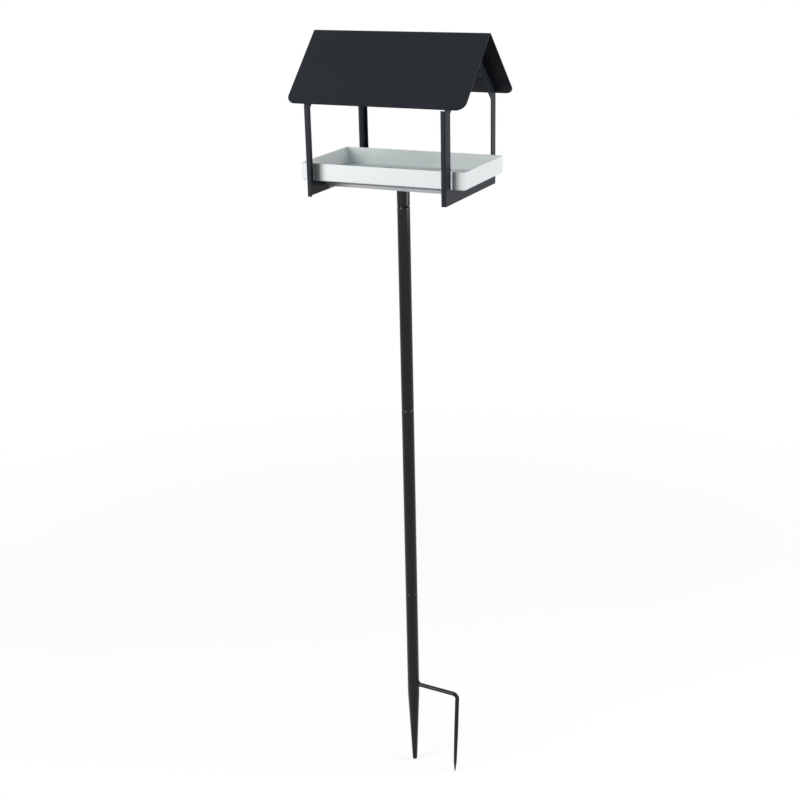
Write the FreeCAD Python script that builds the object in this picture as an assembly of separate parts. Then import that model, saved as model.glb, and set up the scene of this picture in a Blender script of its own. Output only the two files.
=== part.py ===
import FreeCAD, Part
import math
import os

# Bird table on a plug-together pole with a ground spike.
# Lengths are millimetres and angles are degrees. Z = 0 is the soil line, the pole's axis is
# X = Y = 0, X runs along the ridge and Y runs to the back.

# Pole tubes and their plug joints
tube_diameter = 25.4
tube_wall = 1.5
seam_round = 0.8
shoulder_height = 4.0
shoulder_round = 8.0
plug_length = 35.0
plug_clearance = 0.3
plug_chamfer = 1.5
plug_end_room = 6.5
pole_section = 419.5
shank_height = 232.5

# Spike below the soil line
spike_depth = 188.0
spike_taper_start = 16.0
spike_tip_radius = 5.0
spike_tip_round = 3.5
spike_bore_depth = 110.0

# Step: a bent round bar welded to the spike, its arm sloping down to the soil
step_bar_diameter = 9.0
step_reach = 105.0
step_slope = 2.1
step_bend_radius = 10.0
step_leg_length = 192.0
step_taper_length = 100.0
step_taper_radius = 3.5
step_point_length = 24.0
step_point_radius = 1.2
weld_leg = 3.0

# Socket under the house
socket_plate_width = 60.0
socket_plate_sheet = 3.0
socket_plate_corner = 6.0
socket_stud_spacing = 40.0

# Base channel that ties the end frames together below the tray
base_width = 104.0
base_drop = 10.0
base_lip = 7.5
base_sheet = 2.0
base_tab_length = 80.0
base_tab_depth = 14.0
base_stud_spacing = 50.0
base_stud_drop = 8.0

# End frames, each one folded sheet
frame_spacing = 286.0
frame_depth = 242.0
frame_sheet = 2.0
frame_drop = 26.0
post_depth = 22.5
post_flange = 9.0
fold_radius = 1.0
cut_corner = 2.0
flange_roof_gap = 2.0
roof_tab_length = 70.0
roof_tab_width = 18.0
roof_stud_spacing = 44.0
roof_stud_inset = 10.0
tab_relief = 1.0

# Roof, one sheet folded along the ridge
ridge_height = 270.0
roof_pitch = 45.0
roof_sheet = 1.5
ridge_round = 3.0
eave_reach = 1.0
gable_reach = 37.0
roof_corner = 18.0

# Feed tray
tray_reach = 25.0
tray_height = 33.0
tray_sheet = 1.2
tray_corner = 3.0
tray_bend = 2.5
tray_side_gap = 3.0
tray_turn = 0.5

# Fasteners
socket_stud_diameter = 5.0
socket_stud_head = 7.5
socket_stud_head_height = 1.2
socket_nut_width = 8.0
socket_nut_height = 4.0
socket_washer = 10.0
socket_washer_sheet = 1.0
weld_stud_diameter = 4.0
dome_nut_width = 7.0
dome_nut_height = 3.2
dome_washer = 9.0
dome_washer_sheet = 0.8
stud_end = 2.0
thread_gap = 0.1
hole_gap = 0.25

# Points of an outline that lie nearer than this are one point
same_point = 1e-6

# Levels and radii worked out from the sizes above
tube_radius = tube_diameter / 2
bore_radius = tube_radius - tube_wall
plug_radius = bore_radius - plug_clearance
shoulder_rise = shoulder_height / (tube_radius - plug_radius)
step_radius = step_bar_diameter / 2
bend_start = step_reach - step_bend_radius
fold_outer = fold_radius + frame_sheet
lower_seam = shank_height
middle_seam = lower_seam + pole_section
upper_seam = middle_seam + pole_section
socket_tube_top = upper_seam + plug_length + plug_end_room
socket_plate_top = socket_tube_top + socket_plate_sheet
base_level = socket_plate_top + base_sheet
tray_level = base_level + base_drop
frame_face = frame_spacing / 2
frame_inside = frame_face - frame_sheet
frame_edge = frame_depth / 2
frame_bottom = tray_level - frame_drop
post_inner = frame_edge - post_depth
slope = math.radians(roof_pitch)
slope_cos = math.cos(slope)
slope_sin = math.sin(slope)
ridge_level = tray_level + ridge_height
roof_half_span = frame_edge + eave_reach
eave_level = ridge_level - roof_half_span * math.tan(slope)
roof_half_length = frame_face + gable_reach
ceiling_peak = ridge_level - roof_sheet / slope_cos
rafter_peak = ceiling_peak - post_depth / slope_cos

UP = FreeCAD.Vector(0, 0, 1)
ALONG = FreeCAD.Vector(1, 0, 0)
BACK = FreeCAD.Vector(0, 1, 0)
ORIGIN = FreeCAD.Vector(0, 0, 0)


def outline(corners, place):
    """Closed wire through (u, v) or (u, v, radius) corners; place turns (u, v) into a point."""
    arcs = []
    for index, corner in enumerate(corners):
        here = FreeCAD.Vector(corner[0], corner[1], 0)
        before = FreeCAD.Vector(corners[index - 1][0], corners[index - 1][1], 0)
        following = corners[(index + 1) % len(corners)]
        after = FreeCAD.Vector(following[0], following[1], 0)
        radius = corner[2] if len(corner) > 2 else 0.0
        if radius <= 0:
            arcs.append((here, here, here))
            continue
        to_before = (before - here).normalize()
        to_after = (after - here).normalize()
        half_angle = to_before.getAngle(to_after) / 2
        inward = (to_before + to_after).normalize()
        reach = radius / math.tan(half_angle)
        centre = here + inward * (radius / math.sin(half_angle))
        arcs.append((here + to_before * reach, centre - inward * radius, here + to_after * reach))
    edges = []
    for index, (start, middle, end) in enumerate(arcs):
        next_start = arcs[(index + 1) % len(arcs)][0]
        if start.distanceToPoint(end) > same_point:
            points = [place(point.x, point.y) for point in (start, middle, end)]
            edges.append(Part.Arc(*points).toShape())
        if end.distanceToPoint(next_start) > same_point:
            edges.append(Part.LineSegment(place(end.x, end.y), place(next_start.x, next_start.y)).toShape())
    return Part.Wire(edges)


def prism(corners, place, direction):
    """Solid made by pushing an outline along a direction."""
    return Part.Face(outline(corners, place)).extrude(direction)


def turned(corners):
    """Solid of revolution about the pole's axis from (radius, height) corners."""
    face = Part.Face(outline(corners, lambda radius, height: FreeCAD.Vector(radius, 0, height)))
    return face.revolve(ORIGIN, UP, 360)


def joined(shapes):
    """One solid from overlapping shapes, without the seams between their flat faces."""
    return shapes[0].fuse(shapes[1:]).removeSplitter()


def hexagon(width, height, base, direction):
    """Hexagonal block of a width across flats that stands on a point."""
    corner = width / 2 / math.cos(math.radians(30))
    angles = [math.radians(60 * turn) for turn in range(6)]
    corners = [(corner * math.cos(angle), corner * math.sin(angle)) for angle in angles]
    block = prism(corners, lambda u, v: FreeCAD.Vector(u, v, 0), UP * height)
    block.Placement = FreeCAD.Placement(base, FreeCAD.Rotation(UP, direction))
    return block


def rod(diameter, height, base, direction):
    """Round rod that starts at a point."""
    return Part.makeCylinder(diameter / 2, height, base, direction)


def plug_corners(seam):
    """Outline corners of a tube's reduced end, from the outside to the bore.

    The tube above stands on the shoulder at the seam, where the shoulder is as wide as its bore.
    """
    top = seam + plug_length
    plug_bore = plug_radius - tube_wall
    shoulder = seam - shoulder_rise * tube_wall
    return [
        (tube_radius, shoulder, shoulder_round),
        (plug_radius, shoulder + shoulder_height),
        (plug_radius, top - plug_chamfer),
        (plug_radius - plug_chamfer / 2, top),
        (plug_bore, top),
        (plug_bore, shoulder + shoulder_height),
        (bore_radius, shoulder),
    ]


def pole_tube(bottom, seam):
    """Pole tube, open below and reduced above its upper seam to plug into the next piece."""
    lower_end = [(bore_radius, bottom), (tube_radius, bottom, seam_round)]
    return turned(lower_end + plug_corners(seam))


def ground_spike():
    """Lowest tube, drawn down to a closed point below the step."""
    taper_length = spike_depth - spike_taper_start
    bore_share = (spike_bore_depth - spike_taper_start) / taper_length
    bore_tip = tube_radius - (tube_radius - spike_tip_radius) * bore_share - tube_wall
    tip = [(0, -spike_bore_depth), (0, -spike_depth), (spike_tip_radius, -spike_depth, spike_tip_round)]
    outside = [(tube_radius, -spike_taper_start)]
    bore = [(bore_radius, -spike_taper_start), (bore_tip, -spike_bore_depth)]
    return turned(tip + outside + plug_corners(lower_seam) + bore)


def on_spike(shape):
    """Piece of a level step, tipped to the arm's slope and coped to the spike's tube."""
    shape.rotate(FreeCAD.Vector(bend_start, 0, step_radius), BACK, step_slope)
    tube = rod(tube_diameter, 4 * tube_diameter, -UP * 2 * tube_diameter, UP)
    return shape.cut(tube)


def step_bar():
    """Arm, bend and pointed leg of the step."""
    bend_level = step_radius - step_bend_radius
    taper_level = step_taper_length - step_leg_length
    point_level = step_point_length - step_leg_length
    taper_part = step_taper_length - step_point_length
    arm = rod(step_bar_diameter, bend_start, FreeCAD.Vector(0, 0, step_radius), ALONG)
    end_circle = Part.makeCircle(step_radius, FreeCAD.Vector(bend_start, 0, step_radius), ALONG)
    end_face = Part.Face(Part.Wire(end_circle))
    bend = end_face.revolve(FreeCAD.Vector(bend_start, 0, bend_level), BACK, 90)

    def leg_point(level):
        return FreeCAD.Vector(step_reach, 0, level)

    leg = rod(step_bar_diameter, bend_level - taper_level, leg_point(taper_level), UP)
    taper = Part.makeCone(step_taper_radius, step_radius, taper_part, leg_point(point_level), UP)
    tip = leg_point(-step_leg_length)
    point = Part.makeCone(step_point_radius, step_taper_radius, step_point_length, tip, UP)
    return on_spike(joined([arm, bend, leg, taper, point]))


def step_weld(bar):
    """Weld bead round the step's arm where it meets the tube."""
    bead_radius = step_radius + weld_leg
    start = math.sqrt(tube_radius ** 2 - bead_radius ** 2)
    length = tube_radius + weld_leg - start
    bead = Part.makeCone(bead_radius, step_radius, length, FreeCAD.Vector(start, 0, step_radius), ALONG)
    return on_spike(bead).cut(bar)


def socket_tube():
    """Short tube under the house that slips over the upper pole's plug."""
    return turned([
        (bore_radius, upper_seam),
        (tube_radius, upper_seam, seam_round),
        (tube_radius, socket_tube_top),
        (bore_radius, socket_tube_top),
    ])


def socket_weld():
    """Weld bead between the socket's tube and its plate."""
    return turned([
        (tube_radius, socket_tube_top - weld_leg),
        (tube_radius + weld_leg, socket_tube_top),
        (tube_radius, socket_tube_top),
    ])


def mirrored_pairs(across, along):
    """The four points at plus and minus two half distances."""
    return [(x, y) for x in (-across, across) for y in (-along, along)]


def socket_points():
    """Stud positions of the socket plate."""
    return mirrored_pairs(socket_stud_spacing / 2, socket_stud_spacing / 2)


def frame_points():
    """Stud positions on the frames' inner faces below the tray, with the way to the outside."""
    level = base_level - base_stud_drop
    pairs = mirrored_pairs(frame_inside, base_stud_spacing / 2)
    return [(FreeCAD.Vector(x, y, level), ALONG * math.copysign(1, x)) for x, y in pairs]


def socket_plate():
    """Square plate on top of the socket's tube, bolted under the base channel."""
    half = socket_plate_width / 2
    corners = [(half, -half), (half, half), (-half, half), (-half, -half)]
    rounded = [(x, y, socket_plate_corner) for x, y in corners]
    plate = prism(rounded, lambda x, y: FreeCAD.Vector(x, y, socket_tube_top), UP * socket_plate_sheet)
    for x, y in socket_points():
        base = FreeCAD.Vector(x, y, socket_tube_top)
        plate = plate.cut(rod(socket_stud_diameter + 2 * hole_gap, socket_plate_sheet, base, UP))
    return plate


def socket_stud(x, y):
    """Flush-headed stud pressed into the base, long enough for the socket plate and its nut."""
    top = FreeCAD.Vector(x, y, base_level)
    grip = base_sheet + socket_plate_sheet + socket_washer_sheet
    head = rod(socket_stud_head, socket_stud_head_height, top, -UP)
    return joined([head, rod(socket_stud_diameter, grip + socket_nut_height + stud_end, top, -UP)])


def socket_washer_ring(x, y):
    """Washer under the socket plate."""
    top = FreeCAD.Vector(x, y, socket_tube_top)
    ring = rod(socket_washer, socket_washer_sheet, top, -UP)
    return ring.cut(rod(socket_stud_diameter + 2 * thread_gap, socket_washer_sheet, top, -UP))


def socket_nut(x, y):
    """Hexagonal nut on a socket stud."""
    top = FreeCAD.Vector(x, y, socket_tube_top - socket_washer_sheet)
    nut = hexagon(socket_nut_width, socket_nut_height, top, -UP)
    return nut.cut(rod(socket_stud_diameter + 2 * thread_gap, socket_nut_height, top, -UP))


def base_channel(studs):
    """Base with a lip folded down along each side and a tab down each end frame."""
    half = base_width / 2
    outer = base_sheet + fold_radius
    lip_bottom = base_level - base_lip
    underside = base_level - base_sheet
    end = frame_inside - outer
    corners = [
        (-half, lip_bottom),
        (-half, base_level, outer),
        (half, base_level, outer),
        (half, lip_bottom),
        (half - base_sheet, lip_bottom),
        (half - base_sheet, underside, fold_radius),
        (base_sheet - half, underside, fold_radius),
        (base_sheet - half, lip_bottom),
    ]
    pieces = [prism(corners, lambda y, z: FreeCAD.Vector(-end, y, z), ALONG * 2 * end)]
    tab_width = outer + base_sheet
    tab_front = -base_tab_length / 2
    for side in (-1, 1):
        face = side * frame_inside
        tab = fold_corners(face, side, base_level, base_tab_depth, tab_width, base_sheet)
        pieces.append(prism(tab, lambda x, z: FreeCAD.Vector(x, tab_front, z), BACK * base_tab_length))
    base = joined(pieces).cut(studs)
    for point, outward in frame_points():
        base = base.cut(rod(weld_stud_diameter + 2 * hole_gap, base_sheet, point, -outward))
    return base


def fold_corners(face, side, edge, depth, width, sheet):
    """Corners of an L fold: a sheet that ends at edge, then a leg of a width to the inside.

    The first value of a corner is along X and the second runs up to the edge.
    """
    inside = face - side * sheet
    tip = face - side * width
    return [
        (face, edge - depth),
        (face, edge, fold_radius + sheet),
        (tip, edge),
        (tip, edge - sheet),
        (inside, edge - sheet, fold_radius),
        (inside, edge - depth),
    ]


def on_slope(back, distance):
    """Map from (x, height above the ceiling) to a point at a distance down one roof slope."""
    down = FreeCAD.Vector(0, back * slope_cos, -slope_sin)
    outward = FreeCAD.Vector(0, back * slope_sin, slope_cos)
    start = FreeCAD.Vector(0, 0, ceiling_peak) + down * distance
    return (lambda x, height: start + ALONG * x + outward * height), down, outward


def roof_tab_start():
    """Distance down the slope at which a roof tab begins, so that it sits at mid slope."""
    return (frame_edge / slope_cos - roof_tab_length) / 2


def end_frame(side):
    """End frame with folded posts, gable arms, tabs for the roof and a sill for the tray."""
    face = side * frame_face
    inside = side * frame_inside
    plate_edge = frame_edge - fold_outer
    plate_top = ceiling_peak - plate_edge * math.tan(slope)
    hole_top = rafter_peak - post_inner * math.tan(slope)
    thickness = ALONG * side * frame_sheet

    def on_plate(y, z):
        return FreeCAD.Vector(inside, y, z)

    plate = prism([
        (-plate_edge, frame_bottom),
        (plate_edge, frame_bottom),
        (plate_edge, plate_top),
        (0, ceiling_peak, ridge_round),
        (-plate_edge, plate_top),
    ], on_plate, thickness)
    hole = prism([
        (-post_inner, tray_level, cut_corner),
        (post_inner, tray_level, cut_corner),
        (post_inner, hole_top, cut_corner),
        (0, rafter_peak, cut_corner),
        (-post_inner, hole_top, cut_corner),
    ], on_plate, thickness)
    plate = plate.cut(hole)

    flange_top = ceiling_peak - frame_edge * math.tan(slope) - flange_roof_gap
    pieces = []
    for back in (-1, 1):
        post = fold_corners(face, side, frame_edge, post_depth, post_flange, frame_sheet)
        along_post = lambda x, y, back=back: FreeCAD.Vector(x, back * y, frame_bottom)
        pieces.append(prism(post, along_post, UP * (flange_top - frame_bottom)))

        begin = roof_tab_start()
        place, down, outward = on_slope(back, begin - tab_relief)
        notch = [(inside, -fold_outer), (face, -fold_outer), (face, frame_sheet), (inside, frame_sheet)]
        plate = plate.cut(prism(notch, place, down * (roof_tab_length + 2 * tab_relief)))
        place, down, outward = on_slope(back, begin)
        tab = fold_corners(face, side, 0, fold_outer + frame_sheet, roof_tab_width, frame_sheet)
        pieces.append(prism(tab, place, down * roof_tab_length))
    frame = joined([plate] + pieces)

    for base, outward in roof_points(side):
        frame = frame.cut(rod(weld_stud_diameter + 2 * hole_gap, frame_sheet, base, -outward))
    return frame


def roof_points(side):
    """Stud positions on the ceiling above one frame's tabs, with the slope's outward normal."""
    middle = roof_tab_start() + roof_tab_length / 2
    points = []
    for back in (-1, 1):
        for offset in (-roof_stud_spacing / 2, roof_stud_spacing / 2):
            place, down, outward = on_slope(back, middle + offset)
            points.append((place(side * (frame_face - roof_stud_inset), 0), outward))
    return points


def weld_stud(base, outward, grip):
    """Stud welded on a sheet at a point, through another sheet of a grip."""
    return rod(weld_stud_diameter, grip + dome_washer_sheet + dome_nut_height + stud_end, base, -outward)


def dome_washer_ring(base, outward, grip):
    """Washer between a held sheet and its dome nut."""
    start = base - outward * grip
    ring = rod(dome_washer, dome_washer_sheet, start, -outward)
    return ring.cut(rod(weld_stud_diameter + 2 * thread_gap, dome_washer_sheet, start, -outward))


def dome_nut(base, outward, grip):
    """Dome nut that covers the end of a weld stud."""
    start = base - outward * (grip + dome_washer_sheet)
    dome_centre = start - outward * dome_nut_height
    body = hexagon(dome_nut_width, dome_nut_height, start, -outward)
    dome = Part.makeSphere(dome_nut_width / 2, dome_centre)
    below = Part.makeCylinder(dome_nut_width, dome_nut_width, dome_centre, -outward)
    bore_depth = dome_nut_height + stud_end + thread_gap
    bore = rod(weld_stud_diameter + 2 * thread_gap, bore_depth, start, -outward)
    return joined([body, dome.common(below)]).cut(bore)


def dome_fasteners(points, grip):
    """Weld studs, washers and dome nuts at a list of places, each kind as one group."""
    kinds = (weld_stud, dome_washer_ring, dome_nut)
    return [Part.makeCompound([kind(*point, grip) for point in points]) for kind in kinds]


def roof_sheet_solid():
    """Roof sheet with both slopes and rounded lower corners."""
    inner_span = roof_half_span - roof_sheet * slope_sin
    inner_level = eave_level - roof_sheet * slope_cos
    corners = [
        (-roof_half_span, eave_level),
        (0, ridge_level, ridge_round),
        (roof_half_span, eave_level),
        (inner_span, inner_level),
        (0, ceiling_peak, ridge_round - roof_sheet),
        (-inner_span, inner_level),
    ]
    roof = prism(corners, lambda y, z: FreeCAD.Vector(-roof_half_length, y, z), ALONG * 2 * roof_half_length)
    for side in (-1, 1):
        for back in (-1, 1):
            roof = roof.cut(corner_waste(side, back))
    return roof


def corner_waste(side, back):
    """What is cut off a lower corner of the roof to round it."""
    margin = roof_sheet
    corner = FreeCAD.Vector(side * roof_half_length, back * roof_half_span, eave_level)
    inward = ALONG * -side
    upslope = FreeCAD.Vector(0, -back * slope_cos, slope_sin)
    outward = FreeCAD.Vector(0, back * slope_sin, slope_cos)
    centre = corner + (inward + upslope) * roof_corner
    on_eave = corner + inward * roof_corner
    on_gable = corner + upslope * roof_corner
    middle = centre - (inward + upslope).normalize() * roof_corner
    path = [
        on_gable,
        on_gable - inward * margin,
        corner - (inward + upslope) * margin,
        on_eave - upslope * margin,
        on_eave,
    ]
    edges = [Part.LineSegment(start, end).toShape() for start, end in zip(path, path[1:])]
    edges.append(Part.Arc(on_eave, middle, on_gable).toShape())
    face = Part.Face(Part.Wire(edges))
    face.translate(outward * margin)
    return face.extrude(outward * -(roof_sheet + 2 * margin))


def feed_tray():
    """Open tray with folded walls that lies loose on the sills and slides out lengthwise."""
    half_length = frame_face + tray_reach
    half_width = post_inner - tray_side_gap

    def walled(inset, bottom, corner, bend):
        x = half_length - inset
        y = half_width - inset
        height = tray_level + tray_height - bottom
        points = [(x, -y, corner), (x, y, corner), (-x, y, corner), (-x, -y, corner)]
        block = prism(points, lambda u, v: FreeCAD.Vector(u, v, bottom), UP * height)
        foot = [edge for edge in block.Edges if edge.BoundBox.ZMax < bottom + bend]
        return block.makeFillet(bend, foot)

    outside = walled(0, tray_level, tray_corner, tray_bend)
    inside = walled(tray_sheet, tray_level + tray_sheet, tray_corner - tray_sheet, tray_bend - tray_sheet)
    tray = outside.cut(inside)
    tray.rotate(ORIGIN, UP, tray_turn)
    return tray


def main():
    """Build every piece and write one STEP file for each."""
    socket_kinds = (socket_stud, socket_washer_ring, socket_nut)
    socket_groups = [Part.makeCompound([kind(x, y) for x, y in socket_points()]) for kind in socket_kinds]
    frame_groups = dome_fasteners(frame_points(), base_sheet)
    roof_groups = dome_fasteners(roof_points(-1) + roof_points(1), frame_sheet)
    bar = step_bar()

    nodes = {
        "ground_spike": ground_spike(),
        "step_bar": bar,
        "step_weld": step_weld(bar),
        "lower_pole": pole_tube(lower_seam, middle_seam),
        "upper_pole": pole_tube(middle_seam, upper_seam),
        "socket_tube": socket_tube(),
        "socket_weld": socket_weld(),
        "socket_plate": socket_plate(),
        "socket_studs": socket_groups[0],
        "socket_washers": socket_groups[1],
        "socket_nuts": socket_groups[2],
        "base_channel": base_channel(socket_groups[0]),
        "left_end_frame": end_frame(-1),
        "right_end_frame": end_frame(1),
        "frame_studs": frame_groups[0],
        "frame_washers": frame_groups[1],
        "frame_nuts": frame_groups[2],
        "roof_sheet": roof_sheet_solid(),
        "roof_studs": roof_groups[0],
        "roof_washers": roof_groups[1],
        "roof_nuts": roof_groups[2],
        "feed_tray": feed_tray(),
    }
    os.makedirs("parts", exist_ok=True)
    for name, shape in nodes.items():
        shape.exportStep("parts/" + name + ".step")
        solids = len(shape.Solids)
        print(name, "solids", solids, "valid", shape.isValid(), "volume", round(shape.Volume, 1))


main()
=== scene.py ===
"""Bird table on a plug-together pole: finishes, fasteners, weld beads, studio and camera.

Lengths are metres unless a name ends in _mm. Z = 0 is the soil line on the pole's axis, X runs
along the roof's ridge and Y runs to the back.
"""

import logging
import math
import random
from collections.abc import Callable
from dataclasses import dataclass
from enum import Enum

import bmesh
import bpy
from mathutils import Matrix, Vector


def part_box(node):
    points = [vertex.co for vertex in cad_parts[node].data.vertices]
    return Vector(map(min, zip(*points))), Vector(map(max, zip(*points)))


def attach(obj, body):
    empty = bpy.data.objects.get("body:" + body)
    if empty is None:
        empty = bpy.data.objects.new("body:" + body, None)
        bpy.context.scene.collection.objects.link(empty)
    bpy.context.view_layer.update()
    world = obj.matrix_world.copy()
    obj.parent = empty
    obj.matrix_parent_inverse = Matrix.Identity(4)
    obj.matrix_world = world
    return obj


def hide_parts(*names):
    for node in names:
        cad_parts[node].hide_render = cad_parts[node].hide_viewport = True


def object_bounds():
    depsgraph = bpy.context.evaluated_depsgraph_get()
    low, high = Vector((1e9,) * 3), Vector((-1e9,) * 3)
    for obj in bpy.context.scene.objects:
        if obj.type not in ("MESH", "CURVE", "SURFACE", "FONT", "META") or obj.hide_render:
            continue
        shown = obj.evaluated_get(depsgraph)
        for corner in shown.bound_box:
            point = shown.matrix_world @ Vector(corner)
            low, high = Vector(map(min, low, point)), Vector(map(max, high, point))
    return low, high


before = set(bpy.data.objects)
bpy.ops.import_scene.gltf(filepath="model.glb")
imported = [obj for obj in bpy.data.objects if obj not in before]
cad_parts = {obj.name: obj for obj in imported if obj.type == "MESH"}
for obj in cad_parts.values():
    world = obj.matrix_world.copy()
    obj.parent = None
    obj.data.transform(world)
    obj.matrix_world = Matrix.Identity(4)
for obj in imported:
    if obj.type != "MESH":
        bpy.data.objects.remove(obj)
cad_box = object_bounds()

log = logging.getLogger("bird_table")

MM = 0.001
MERGE_DISTANCE = 0.001 * MM
FLOOR_GAP = 0.5 * MM
FULL_TURN = 2 * math.pi
QUARTER_TURN = FULL_TURN / 4
SHARP_FOLD = math.radians(35)

# Socket numbers of a mix node that mixes colours, where names would be ambiguous
MIX_FACTOR = 0
MIX_FIRST = 6
MIX_SECOND = 7
MIX_COLOUR = 2


def srgb(hex_colour: str) -> tuple[float, float, float, float]:
    """Turn an sRGB hex colour into linear values.

    Args:
        hex_colour: Six hex digits after a hash.

    Returns:
        Linear red, green and blue with an alpha of one.
    """
    parts = [int(hex_colour[place:place + 2], 16) / 255 for place in (1, 3, 5)]
    red, green, blue = (
        part / 12.92 if part <= 0.04045 else ((part + 0.055) / 1.055) ** 2.4 for part in parts
    )
    return (red, green, blue, 1.0)


def add_node(
    tree: bpy.types.NodeTree, kind: str, inputs: dict | None = None, **settings: str,
) -> bpy.types.Node:
    """Add a node with its settings, values and links.

    Args:
        tree: The node tree that gets the node.
        kind: The node's type name.
        inputs: Socket name or number to a value, or to an output socket that is linked.
        settings: Properties of the node, such as an operation.

    Returns:
        The new node.
    """
    node = tree.nodes.new(kind)
    for name, value in settings.items():
        setattr(node, name, value)
    for socket, value in (inputs or {}).items():
        if isinstance(value, bpy.types.NodeSocket):
            tree.links.new(value, node.inputs[socket])
        else:
            node.inputs[socket].default_value = value
    return node


def new_material(name: str) -> tuple[bpy.types.Material, bpy.types.NodeTree]:
    """Make an empty node material.

    Args:
        name: The material's name.

    Returns:
        The material and its node tree.
    """
    material = bpy.data.materials.new(name)
    material.use_nodes = True
    material.node_tree.nodes.clear()
    return material, material.node_tree


def pattern_scale(size_mm: float) -> float:
    """Give a noise texture's scale for features of a real size.

    Args:
        size_mm: The distance from one feature to the next, in millimetres.

    Returns:
        Features per metre.
    """
    return 1 / (size_mm * MM)


@dataclass(frozen=True)
class Clouding:
    """Slow drift of colour and roughness over a surface.

    A real skin is never quite even, and the drift keeps wide flat sheets from looking like plain fills.
    """

    first_colour: str
    second_colour: str
    size_mm: float
    detail: float
    roughness: float
    roughness_spread: float

    def sockets(
        self, tree: bpy.types.NodeTree, place: bpy.types.NodeSocket,
    ) -> tuple[bpy.types.NodeSocket, bpy.types.NodeSocket]:
        """Add the drift's nodes.

        Args:
            tree: The material's node tree.
            place: The place on the surface.

        Returns:
            The colour and the roughness.
        """
        cloud = add_node(tree, "ShaderNodeTexNoise", {
            "Vector": place, "Scale": pattern_scale(self.size_mm), "Detail": self.detail,
        }).outputs["Fac"]
        colour = add_node(tree, "ShaderNodeMix", {
            MIX_FACTOR: cloud,
            MIX_FIRST: srgb(self.first_colour),
            MIX_SECOND: srgb(self.second_colour),
        }, data_type="RGBA")
        rough = add_node(tree, "ShaderNodeMapRange", {
            "Value": cloud,
            "To Min": self.roughness - self.roughness_spread,
            "To Max": self.roughness + self.roughness_spread,
        })
        return colour.outputs[MIX_COLOUR], rough.outputs["Result"]


@dataclass(frozen=True)
class PowderCoat:
    """Polyester powder coat on steel: sprayed, then baked to a thin even skin.

    The melt leaves a faint orange peel a few millimetres across, and the powder a finer grain on it.
    They break up the sheen. The colour hardly varies, so only a trace of cloudiness is added.
    """

    name: str
    colour: str
    cloud_colour: str
    roughness: float
    specular: float = 0.5
    ior: float = 1.5
    peel_mm: float = 2.5
    peel_height_mm: float = 0.02
    grain_mm: float = 0.6
    grain_height_mm: float = 0.004
    cloud_mm: float = 90.0
    roughness_spread: float = 0.02

    def material(self) -> bpy.types.Material:
        """Build the coat's material.

        Returns:
            The material.
        """
        material, tree = new_material(self.name)
        place = add_node(tree, "ShaderNodeTexCoord").outputs["Object"]
        clouding = Clouding(
            self.colour, self.cloud_colour, self.cloud_mm, detail=3.0,
            roughness=self.roughness, roughness_spread=self.roughness_spread,
        )
        colour, rough = clouding.sockets(tree, place)
        peel = add_node(tree, "ShaderNodeTexNoise", {
            "Vector": place, "Scale": pattern_scale(self.peel_mm), "Detail": 1.0,
        })
        grain = add_node(tree, "ShaderNodeTexNoise", {
            "Vector": place, "Scale": pattern_scale(self.grain_mm), "Detail": 0.0,
        })
        swell = add_node(tree, "ShaderNodeBump", {
            "Height": peel.outputs["Fac"], "Distance": self.peel_height_mm * MM, "Strength": 1.0,
        })
        skin = add_node(tree, "ShaderNodeBump", {
            "Height": grain.outputs["Fac"], "Distance": self.grain_height_mm * MM, "Strength": 1.0,
            "Normal": swell.outputs["Normal"],
        })
        coat = add_node(tree, "ShaderNodeBsdfPrincipled", {
            "Base Color": colour,
            "Roughness": rough,
            "IOR": self.ior,
            "Specular IOR Level": self.specular,
            "Normal": skin.outputs["Normal"],
        })
        add_node(tree, "ShaderNodeOutputMaterial", {"Surface": coat.outputs["BSDF"]})
        return material


@dataclass(frozen=True)
class ZincPlate:
    """Steel fastener, bright zinc plated in a barrel: cool grey metal with cloudy dulling."""

    name: str = "bright_zinc_plated_steel"
    colour: str = "#cdd0d2"
    dull_colour: str = "#a9acae"
    roughness: float = 0.42
    roughness_spread: float = 0.1
    cloud_mm: float = 4.0
    tumble_mm: float = 0.5
    tumble_height_mm: float = 0.006

    def material(self) -> bpy.types.Material:
        """Build the plating's material.

        Returns:
            The material.
        """
        material, tree = new_material(self.name)
        place = add_node(tree, "ShaderNodeTexCoord").outputs["Object"]
        clouding = Clouding(
            self.colour, self.dull_colour, self.cloud_mm, detail=4.0,
            roughness=self.roughness, roughness_spread=self.roughness_spread,
        )
        colour, rough = clouding.sockets(tree, place)
        tumble = add_node(tree, "ShaderNodeTexNoise", {
            "Vector": place, "Scale": pattern_scale(self.tumble_mm), "Detail": 2.0,
        })
        marks = add_node(tree, "ShaderNodeBump", {
            "Height": tumble.outputs["Fac"],
            "Distance": self.tumble_height_mm * MM,
            "Strength": 1.0,
        })
        metal = add_node(tree, "ShaderNodeBsdfPrincipled", {
            "Base Color": colour,
            "Metallic": 1.0,
            "Roughness": rough,
            "Normal": marks.outputs["Normal"],
        })
        add_node(tree, "ShaderNodeOutputMaterial", {"Surface": metal.outputs["BSDF"]})
        return material


# Its sheen is held back and its colour lifted a little to make up for it, a painted sheen, so the
# sheets stay dark and a little blue in the white studio
ANTHRACITE_PAINTED_SHEEN_COAT = PowderCoat(
    "powder_coat_satin_anthracite_painted_sheen", "#2b2f35", "#282c32", roughness=0.3, specular=0.06,
)

# Near black by itself: the sheen of the white studio lifts the round tubes to a soft dark grey
BLACK_COAT = PowderCoat(
    "powder_coat_satin_black", "#131313", "#101010", roughness=0.12, specular=0.24,
)

# A light neutral grey, partly the base's own colour and partly a painted sheen that lights the strip
# under the tray, which the tray above shades
PALE_GREY_PAINTED_SHEEN_COAT = PowderCoat("powder_coat_satin_pale_grey_painted_sheen", "#bec1c4", "#b8bbbe", roughness=0.35)

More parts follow.
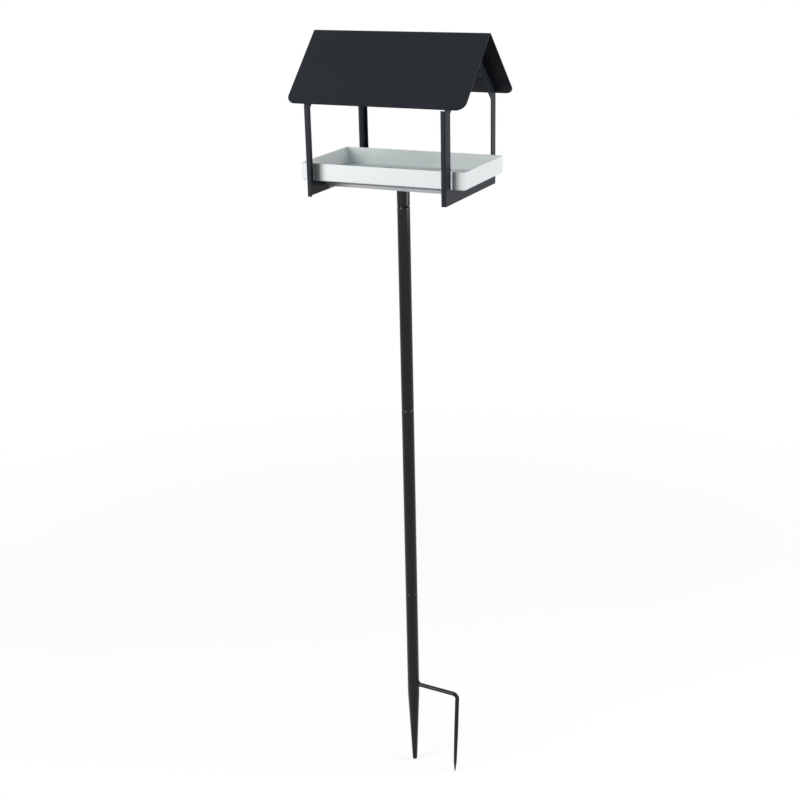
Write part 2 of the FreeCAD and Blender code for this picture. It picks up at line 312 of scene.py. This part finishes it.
# A cool white with a flatter peel than the other coats, so that its walls shade evenly
WHITE_COAT = PowderCoat(
    "powder_coat_satin_white", "#edf4f4", "#eaf1f1", roughness=0.35, peel_height_mm=0.012,
)

ZINC = ZincPlate()


class Slot(Enum):
    """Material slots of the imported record."""

    HOUSE = "house_coat"
    POLE = "pole_coat"
    TRAY = "tray_coat"
    BASE = "base_coat"
    FASTENER = "zinc_fastener"


def dress(names: list[str], material: bpy.types.Material) -> None:
    """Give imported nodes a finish.

    Args:
        names: The nodes' names.
        material: The finish.
    """
    for name in names:
        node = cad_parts[name]
        node.data.materials.clear()
        node.data.materials.append(material)
        log.info("dressed %s in %s", name, material.name)


class Skin:
    """Mesh grown from rings of points that quads join."""

    def __init__(self) -> None:
        """Start with an empty mesh."""
        self.mesh = bmesh.new()

    def add(self, rings: list[list[Vector]], place: Matrix, looped: bool) -> None:
        """Join rings of equal length into one closed surface.

        Args:
            rings: Rings of points, each ring closed on itself.
            place: Where the rings go.
            looped: Join the last ring to the first, or else cap both.
        """
        rows = [[self.mesh.verts.new(place @ point) for point in ring] for ring in rings]
        pairs = list(zip(rows, rows[1:]))
        if looped:
            pairs.append((rows[-1], rows[0]))
        for lower, upper in pairs:
            for index, corner in enumerate(lower):
                after = (index + 1) % len(lower)
                self.mesh.faces.new((corner, lower[after], upper[after], upper[index]))
        if not looped:
            self.mesh.faces.new(rows[0][::-1])
            self.mesh.faces.new(rows[-1])

    def piece(
        self, name: str, body: str, node: str, slot: Slot, material: bpy.types.Material,
    ) -> None:
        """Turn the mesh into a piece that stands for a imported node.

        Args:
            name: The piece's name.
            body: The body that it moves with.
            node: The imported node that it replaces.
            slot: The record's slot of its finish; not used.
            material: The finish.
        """
        bmesh.ops.recalc_face_normals(self.mesh, faces=self.mesh.faces[:])
        data = bpy.data.meshes.new(name)
        self.mesh.to_mesh(data)
        self.mesh.free()
        data.materials.append(material)
        data.polygons.foreach_set("use_smooth", [True] * len(data.polygons))
        data.set_sharp_from_angle(angle=SHARP_FOLD)
        piece = bpy.data.objects.new(name, data)
        bpy.context.scene.collection.objects.link(piece)
        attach(piece, body)
        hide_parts(node)
        log.info("built %s in %s, %d faces", name, material.name, len(data.polygons))


@dataclass(frozen=True)
class Site:
    """Where one fastener of a packed group stands, with its height and radius.

    The place takes the origin to the middle of its foot and Z along it.
    """

    place: Matrix
    height: float
    radius: float


def find_sites(node: str, away: Callable[[Vector], Vector]) -> list[Site]:
    """Find each solid of a packed group of fasteners.

    Args:
        node: The group's node.
        away: Gives the way off the sheet that a fastener bears on, from a point of it.

    Returns:
        One site for each solid, with Z along the fastener.
    """
    group = bmesh.new()
    group.from_mesh(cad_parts[node].data)
    bmesh.ops.remove_doubles(group, verts=group.verts[:], dist=MERGE_DISTANCE)
    reached = set()
    sites = []
    # The mesh's own order of points keeps the sites in the same order in every run
    for start in group.verts:
        if start in reached:
            continue
        reached.add(start)
        front = [start]
        island = []
        while front:
            vertex = front.pop()
            island.append(vertex.co.copy())
            for edge in vertex.link_edges:
                other = edge.other_vert(vertex)
                if other not in reached:
                    reached.add(other)
                    front.append(other)
        turn = Vector((0, 0, 1)).rotation_difference(away(island[0])).to_matrix()
        local = [turn.transposed() @ point for point in island]
        low = Vector([min(point[axis] for point in local) for axis in range(3)])
        high = Vector([max(point[axis] for point in local) for axis in range(3)])
        foot = turn @ Vector(((low.x + high.x) / 2, (low.y + high.y) / 2, low.z))
        place = Matrix.Translation(foot) @ turn.to_4x4()
        sites.append(Site(place, high.z - low.z, (high.x - low.x) / 2))
    group.free()
    return sites


def ring_point(radius: float, angle: float, height: float) -> Vector:
    """Give a point by its distance from Z, its turn about Z and its height."""
    return Vector((radius * math.cos(angle), radius * math.sin(angle), height))


def round_ring(radius: float, height: float, segments: int) -> list[Vector]:
    """Give a circle about Z."""
    return [ring_point(radius, FULL_TURN * step / segments, height) for step in range(segments)]


@dataclass(frozen=True)
class HexNut:
    """Hexagonal nut with chamfered corners, open or closed by a dome."""

    bore_radius: float
    domed: bool = False
    segments: int = 72
    side_angle: float = FULL_TURN / 6
    chamfer_share: float = 0.95
    chamfer_angle: float = math.radians(30)
    countersink: float = 0.35 * MM
    dome_rings: int = 10

    def rings(self, site: Site) -> list[list[Vector]]:
        """Give the nut's rings, from its bore round its outside.

        Args:
            site: Where it stands; its radius there is that of the corners.

        Returns:
            Rings about Z.
        """
        flat = site.radius * math.cos(self.side_angle / 2)
        chamfer = flat * self.chamfer_share
        height = site.height - flat if self.domed else site.height
        mouth = self.bore_radius + self.countersink
        low, high = [], []
        for step in range(self.segments):
            angle = FULL_TURN * step / self.segments
            from_flat = angle % self.side_angle - self.side_angle / 2
            radius = flat / math.cos(from_flat)
            fall = (radius - chamfer) * math.tan(self.chamfer_angle)
            low.append(ring_point(radius, angle, fall))
            high.append(ring_point(radius, angle, height - fall))
        rings = [
            round_ring(self.bore_radius, self.countersink, self.segments),
            round_ring(mouth, 0, self.segments),
            round_ring(chamfer, 0, self.segments),
            low,
            high,
            round_ring(chamfer, height, self.segments),
        ]
        if not self.domed:
            rings.append(round_ring(mouth, height, self.segments))
            rings.append(round_ring(self.bore_radius, height - self.countersink, self.segments))
            return rings
        for step in range(1, self.dome_rings):
            rise = QUARTER_TURN * step / self.dome_rings
            level = height + flat * math.sin(rise)
            rings.append(round_ring(chamfer * math.cos(rise), level, self.segments))
        # The blind bore ends inside the dome
        depth = site.height - flat * (1 - self.chamfer_share) - self.bore_radius / 2
        return [round_ring(self.bore_radius, depth, self.segments)] + rings

    def build(
        self, name: str, body: str, node: str, sites: list[Site], material: bpy.types.Material,
    ) -> None:
        """Build one piece with a nut at each site.

        Args:
            name: The piece's name.
            body: The body that it moves with.
            node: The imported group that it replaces.
            sites: Where the nuts stand.
            material: Their finish.
        """
        skin = Skin()
        for site in sites:
            skin.add(self.rings(site), site.place, looped=not self.domed)
        skin.piece(name, body, node, Slot.FASTENER, material)


@dataclass(frozen=True)
class ThreadedStud:
    """Flush-headed stud with a rolled thread."""

    thread_radius: float = 2.5 * MM
    head_height: float = 1.2 * MM
    pitch: float = 0.8 * MM
    thread_depth: float = 0.3 * MM
    point_length: float = 0.6 * MM
    segments: int = 24
    steps_per_turn: int = 8

    def rings(self, site: Site) -> list[list[Vector]]:
        """Give the stud's rings, from the head to the point.

        Args:
            site: Where it stands; its radius there is the head's.

        Returns:
            Rings about Z, the threaded ones rippled along a helix.
        """
        rings = [round_ring(site.radius, level, self.segments) for level in (0, self.head_height)]
        threaded = site.height - self.head_height
        rows = int(threaded / self.pitch * self.steps_per_turn)
        for row in range(rows + 1):
            level = self.head_height + threaded * row / rows
            point = min(1.0, (site.height - level) / self.point_length)
            crest_limit = self.thread_radius - self.thread_depth * (1 - point)
            ring = []
            for step in range(self.segments):
                phase = (level / self.pitch - step / self.segments) % 1.0
                groove = self.thread_depth * (1 - abs(2 * phase - 1))
                radius = min(crest_limit, self.thread_radius - groove)
                ring.append(ring_point(radius, FULL_TURN * step / self.segments, level))
            rings.append(ring)
        return rings


@dataclass(frozen=True)
class WeldBead:
    """Fillet weld laid by hand, with crescent ripples a little over a millimetre apart."""

    length: float
    seed: int
    ripple_pitch: float = 1.3 * MM
    ripple_height: float = 0.14 * MM
    crown: float = 0.22
    crescent: float = 0.8
    toe_wander: float = 0.06
    steps_per_ripple: int = 6
    section_points: int = 9

    def rings(self, legs: Callable[[float], tuple[Vector, Vector, Vector]]) -> list[list[Vector]]:
        """Give the bead's cross-sections, one after another round the joint.

        Args:
            legs: Gives the root and the two toes of the weld from the turn round the joint.

        Returns:
            Closed sections, each from one toe over the crown to the other toe and the root.
        """
        ripples = round(self.length / self.ripple_pitch)
        draw = random.Random(self.seed)
        wander = [1 + draw.uniform(-self.toe_wander, self.toe_wander) for _ in range(ripples)]
        steps = ripples * self.steps_per_ripple
        rings = []
        for step in range(steps):
            root, first_toe, second_toe = legs(FULL_TURN * step / steps)
            place = step / self.steps_per_ripple
            blend = place % 1.0
            size = wander[int(place)] * (1 - blend) + wander[(int(place) + 1) % ripples] * blend
            first_toe, second_toe = root.lerp(first_toe, size), root.lerp(second_toe, size)
            leg = (first_toe - root).length
            outward = ((first_toe + second_toe) / 2 - root).normalized()
            section = []
            for index in range(self.section_points):
                share = index / (self.section_points - 1)
                # Zero at both toes and one at the crown
                bulge = 4 * share * (1 - share)
                # Each ripple steps up at once and falls away until the next
                phase = (place + self.crescent * bulge) % 1.0
                ripple = self.ripple_height * bulge * (1 - phase) ** 2
                height = self.crown * leg * bulge + ripple
                section.append(first_toe.lerp(second_toe, share) + outward * height)
            rings.append(section + [root])
        return rings

    def build(
        self, name: str, body: str, node: str, material: bpy.types.Material,
        legs: Callable[[float], tuple[Vector, Vector, Vector]],
    ) -> None:
        """Build the bead as a piece.

        Args:
            name: The piece's name.
            body: The body that it moves with.
            node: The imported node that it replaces.
            material: Its finish.
            legs: Gives the root and the two toes of the weld from the turn round the joint.
        """
        skin = Skin()
        skin.add(self.rings(legs), Matrix.Identity(4), looped=True)
        skin.piece(name, body, node, Slot.POLE, material)


@dataclass
class House:
    """Roof, end frames and base with their fasteners."""

    roof_pitch: float = math.radians(45)
    socket_bore: float = 2.6 * MM
    dome_nut_bore: float = 2.1 * MM

    def build(self) -> None:
        """Dress the sheets and build the fasteners."""
        # The sheets' colour carries a little painted sheen in place of the held-back real one
        dress(["roof_sheet", "left_end_frame", "right_end_frame"], ANTHRACITE_PAINTED_SHEEN_COAT.material())
        # The base's pale grey is partly a painted sheen on the strip under the tray
        dress(["base_channel"], PALE_GREY_PAINTED_SHEEN_COAT.material())
        zinc = ZINC.material()
        dress(["frame_studs", "roof_studs"], zinc)
        dress(["socket_washers", "frame_washers", "roof_washers"], zinc)
        hex_nut = HexNut(self.socket_bore)
        dome_nut = HexNut(self.dome_nut_bore, domed=True)
        for nut, name, node, away in (
            (hex_nut, "socket_hex_nuts", "socket_nuts", self.down),
            (dome_nut, "frame_dome_nuts", "frame_nuts", self.inward),
            (dome_nut, "roof_dome_nuts", "roof_nuts", self.off_roof),
        ):
            nut.build(name, "house", node, find_sites(node, away), zinc)
        studs = Skin()
        for site in find_sites("socket_studs", self.down):
            studs.add(ThreadedStud().rings(site), site.place, looped=False)
        studs.piece("socket_threaded_studs", "house", "socket_studs", Slot.FASTENER, zinc)

    def down(self, point: Vector) -> Vector:
        """Give the way off the socket plate."""
        return Vector((0, 0, -1))

    def inward(self, point: Vector) -> Vector:
        """Give the way off an end frame's inner face."""
        return Vector((-math.copysign(1, point.x), 0, 0))

    def off_roof(self, point: Vector) -> Vector:
        """Give the way off the roof's underside."""
        across = -math.copysign(math.sin(self.roof_pitch), point.y)
        return Vector((0, across, -math.cos(self.roof_pitch)))


@dataclass
class Pole:
    """Pole tubes, spike, step and socket in one black finish, with their weld beads."""

    step_slope: float = math.radians(2.1)

    def build(self) -> None:
        """Dress the tubes and build the weld beads."""
        coat = BLACK_COAT.material()
        dress(["ground_spike", "step_bar", "lower_pole", "upper_pole"], coat)
        dress(["socket_tube", "socket_plate"], coat)
        self.socket_bead(coat)
        self.step_bead(coat)

    def socket_bead(self, coat: bpy.types.Material) -> None:
        """Build the ring of weld between the socket's tube and its plate.

        Args:
            coat: The finish.
        """
        tube_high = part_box("socket_tube")[1]
        radius, top = tube_high.x, tube_high.z
        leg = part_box("socket_weld")[1].x - radius

        def legs(turn: float) -> tuple[Vector, Vector, Vector]:
            """Give the joint's section at one turn about the pole's axis.

            Args:
                turn: The turn from X.

            Returns:
                The root, the toe on the tube and the toe on the plate.
            """
            outward = Vector((math.cos(turn), math.sin(turn), 0))
            root = outward * radius + Vector((0, 0, top))
            return root, root - Vector((0, 0, leg)), root + outward * leg

        bead = WeldBead(FULL_TURN * (radius + leg / 2), seed=3)
        bead.build("socket_weld_bead", "house", "socket_weld", coat, legs)

    def step_bead(self, coat: bpy.types.Material) -> None:
        """Build the weld round the step's arm where it meets the spike's tube.

        Args:
            coat: The finish.
        """
        tube_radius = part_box("ground_spike")[1].x
        bar_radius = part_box("step_bar")[1].y
        weld_low, weld_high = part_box("step_weld")
        bead_radius = weld_high.y
        centre = (weld_low.z + weld_high.z) / 2
        middle = (weld_low.x + weld_high.x) / 2

        def on_tube(turn: float, distance: float) -> Vector:
            """Give a point of the tube's outside, near the arm.

            Args:
                turn: The turn about the arm's axis, from Y.
                distance: The distance from the arm's axis.

            Returns:
                The point.
            """
            across = distance * math.cos(turn)
            reach = math.sqrt(tube_radius ** 2 - across ** 2)
            fall = (middle - reach) * math.tan(self.step_slope)
            level = centre + distance * math.sin(turn) + fall
            return Vector((reach, across, level))

        def legs(turn: float) -> tuple[Vector, Vector, Vector]:
            """Give the joint's section at one turn about the arm's axis.

            Args:
                turn: The turn from Y.

            Returns:
                The root, the toe on the arm and the toe on the tube.
            """
            root = on_tube(turn, bar_radius)
            along = Vector((math.cos(self.step_slope), 0, -math.sin(self.step_slope)))
            return root, root + along * (bead_radius - bar_radius), on_tube(turn, bead_radius)

        bead = WeldBead(FULL_TURN * (bar_radius + bead_radius) / 2, seed=5)
        bead.build("step_weld_bead", "stake", "step_weld", coat, legs)


@dataclass
class Tray:
    """Feed tray, one folded white sheet."""

    def build(self) -> None:
        """Give the tray its finish."""
        dress(["feed_tray"], WHITE_COAT.material())


@dataclass(frozen=True)
class Softbox:
    """Large soft lamp that stands upright and faces the pole's axis.

    The radiance is what a mirror would show of it, where white paper in plain light shows one.
    """

    name: str
    centre: tuple[float, float, float]
    width: float
    height: float
    radiance: float

    def build(self) -> None:
        """Make the lamp and turn it to the pole."""
        light = bpy.data.lights.new(self.name, "AREA")
        light.shape = "RECTANGLE"
        light.size = self.width
        light.size_y = self.height
        light.energy = self.radiance * math.pi * self.width * self.height
        lamp = bpy.data.objects.new(self.name, light)
        across, along, _ = self.centre
        direction = Vector((-across, -along, 0))
        turn = direction.to_track_quat("-Z", "Y").to_matrix().to_4x4()
        lamp.matrix_world = Matrix.Translation(self.centre) @ turn
        bpy.context.scene.collection.objects.link(lamp)


@dataclass
class Studio:
    """Pale floor, soft lamps, backdrop and camera."""

    floor_level: float
    floor_radius: float = 6.0
    floor_segments: int = 96
    floor_colour: str = "#808080"
    floor_glow: float = 0.84
    fade_start: float = 0.9
    fade_end: float = 2.4

    # The room's brightness as light on the object, and how far up each part of it starts or ends,
    # from 0 level with the object to 1 straight above it
    wall_level: float = 0.05
    ceiling_level: float = 0.42
    wall_top: float = 0.45
    ceiling_start: float = 0.95

    # Camera fitted to the photo's straight edges
    image_side: float = 800.0
    sensor_mm: float = 36.0
    focal_px: float = 1343.337
    camera_place: tuple[float, float, float] = (1.111343, -2.311369, 1.609546)
    yaw: float = 26.023
    pitch: float = 20.086
    roll: float = -1.314

    def build(self) -> None:
        """Make the floor, lamps, world and camera."""
        self.floor()
        self.world()
        for box in self.softboxes():
            box.build()
        self.camera()

    def softboxes(self) -> list[Softbox]:
        """List the lamps: a key with a dimmer wing at the front left, a side light and a weak fill.

        Returns:
            The lamps.
        """
        return [
            Softbox("key_softbox", (-1.36, -2.67, 1.775), width=1.5, height=2.35, radiance=7.1),
            Softbox("wing_softbox", (-0.4, -2.97, 1.775), width=0.55, height=2.35, radiance=1.5),
            Softbox("side_softbox", (2.12, 0.335, 1.3), width=1.3, height=1.42, radiance=6.2),
            Softbox("fill_softbox", (1.55, -2.5, 1.0), width=2.6, height=2.0, radiance=0.14),
        ]

    def shown_background(self, tree: bpy.types.NodeTree) -> bpy.types.NodeSocket:
        """Tell where the white backdrop is seen and where it only lights the object.

        Args:
            tree: The node tree of the floor or the world.

        Returns:
            One for what the camera, sheens and glass see, and else zero.
        """
        path = add_node(tree, "ShaderNodeLightPath").outputs
        seen = add_node(tree, "ShaderNodeMath", {
            0: path["Is Camera Ray"], 1: path["Is Glossy Ray"],
        }, operation="MAXIMUM").outputs[0]
        return add_node(tree, "ShaderNodeMath", {
            0: seen, 1: path["Is Transmission Ray"],
        }, operation="MAXIMUM").outputs[0]

    def floor(self) -> None:
        """Make a round pale floor that fades to plain white away from the object."""
        mesh = bpy.data.meshes.new("studio_floor")
        disc = bmesh.new()
        bmesh.ops.create_circle(
            disc, cap_ends=True, segments=self.floor_segments, radius=self.floor_radius,
        )
        disc.to_mesh(mesh)
        disc.free()
        floor = bpy.data.objects.new("studio_floor", mesh)
        floor.location.z = self.floor_level
        bpy.context.scene.collection.objects.link(floor)

        material, tree = new_material("paper_white_matt")
        shown = self.shown_background(tree)
        place = add_node(tree, "ShaderNodeTexCoord").outputs["Object"]
        distance = add_node(tree, "ShaderNodeVectorMath", {0: place}, operation="LENGTH")
        fade = add_node(tree, "ShaderNodeMapRange", {
            "Value": distance.outputs["Value"],
            "From Min": self.fade_start,
            "From Max": self.fade_end,
        }, interpolation_type="SMOOTHSTEP").outputs["Result"]
        paper = add_node(tree, "ShaderNodeBsdfDiffuse", {"Color": srgb(self.floor_colour)})
        strength = add_node(tree, "ShaderNodeMath", {
            0: shown, 1: self.floor_glow,
        }, operation="MULTIPLY")
        glow = add_node(tree, "ShaderNodeEmission", {"Strength": strength.outputs[0]})
        near = add_node(tree, "ShaderNodeAddShader", {0: paper.outputs[0], 1: glow.outputs[0]})
        far = add_node(tree, "ShaderNodeEmission", {"Strength": shown})
        mixed = add_node(tree, "ShaderNodeMixShader", {
            0: fade, 1: near.outputs[0], 2: far.outputs[0],
        })
        add_node(tree, "ShaderNodeOutputMaterial", {"Surface": mixed.outputs[0]})
        mesh.materials.append(material)

    def world(self) -> None:
        """Make a backdrop that shows white and lights as dim walls under a lighter ceiling."""
        world = bpy.data.worlds.new("white_studio")
        world.use_nodes = True
        tree = world.node_tree
        tree.nodes.clear()
        shown = self.shown_background(tree)
        direction = add_node(tree, "ShaderNodeTexCoord").outputs["Generated"]
        upward = add_node(tree, "ShaderNodeSeparateXYZ", {0: direction}).outputs["Z"]
        room = add_node(tree, "ShaderNodeMapRange", {
            "Value": upward, "From Min": self.wall_top, "From Max": self.ceiling_start,
            "To Min": self.wall_level, "To Max": self.ceiling_level,
        }, interpolation_type="SMOOTHSTEP").outputs["Result"]
        strength = add_node(tree, "ShaderNodeMath", {0: shown, 1: room}, operation="MAXIMUM")
        background = add_node(tree, "ShaderNodeBackground", {
            "Color": (1.0, 1.0, 1.0, 1.0), "Strength": strength.outputs[0],
        })
        add_node(tree, "ShaderNodeOutputWorld", {"Surface": background.outputs[0]})
        bpy.context.scene.world = world

    def camera(self) -> None:
        """Place the camera by its fitted angles."""
        yaw, pitch, roll = (math.radians(angle) for angle in (self.yaw, self.pitch, self.roll))
        forward = Vector((
            -math.sin(yaw) * math.cos(pitch),
            math.cos(yaw) * math.cos(pitch),
            -math.sin(pitch),
        ))
        right = Vector((math.cos(yaw), math.sin(yaw), 0.0))
        up = right.cross(forward)
        across = right * math.cos(roll) + up * math.sin(roll)
        upright = up * math.cos(roll) - right * math.sin(roll)
        turn = Matrix((across, upright, -forward)).transposed().to_4x4()
        data = bpy.data.cameras.new("camera")
        data.sensor_width = self.sensor_mm
        data.lens = self.focal_px / self.image_side * self.sensor_mm
        camera = bpy.data.objects.new("camera", data)
        camera.matrix_world = Matrix.Translation(self.camera_place) @ turn
        scene = bpy.context.scene
        scene.collection.objects.link(camera)
        scene.camera = camera
        scene.view_settings.view_transform = "Standard"


def main() -> None:
    """Build the object's looks and the studio."""
    logging.basicConfig(level=logging.INFO, format="%(message)s")
    Pole().build()
    House().build()
    Tray().build()
    Studio(floor_level=cad_box[0].z - FLOOR_GAP).build()


if __name__ == "__main__":
    main()
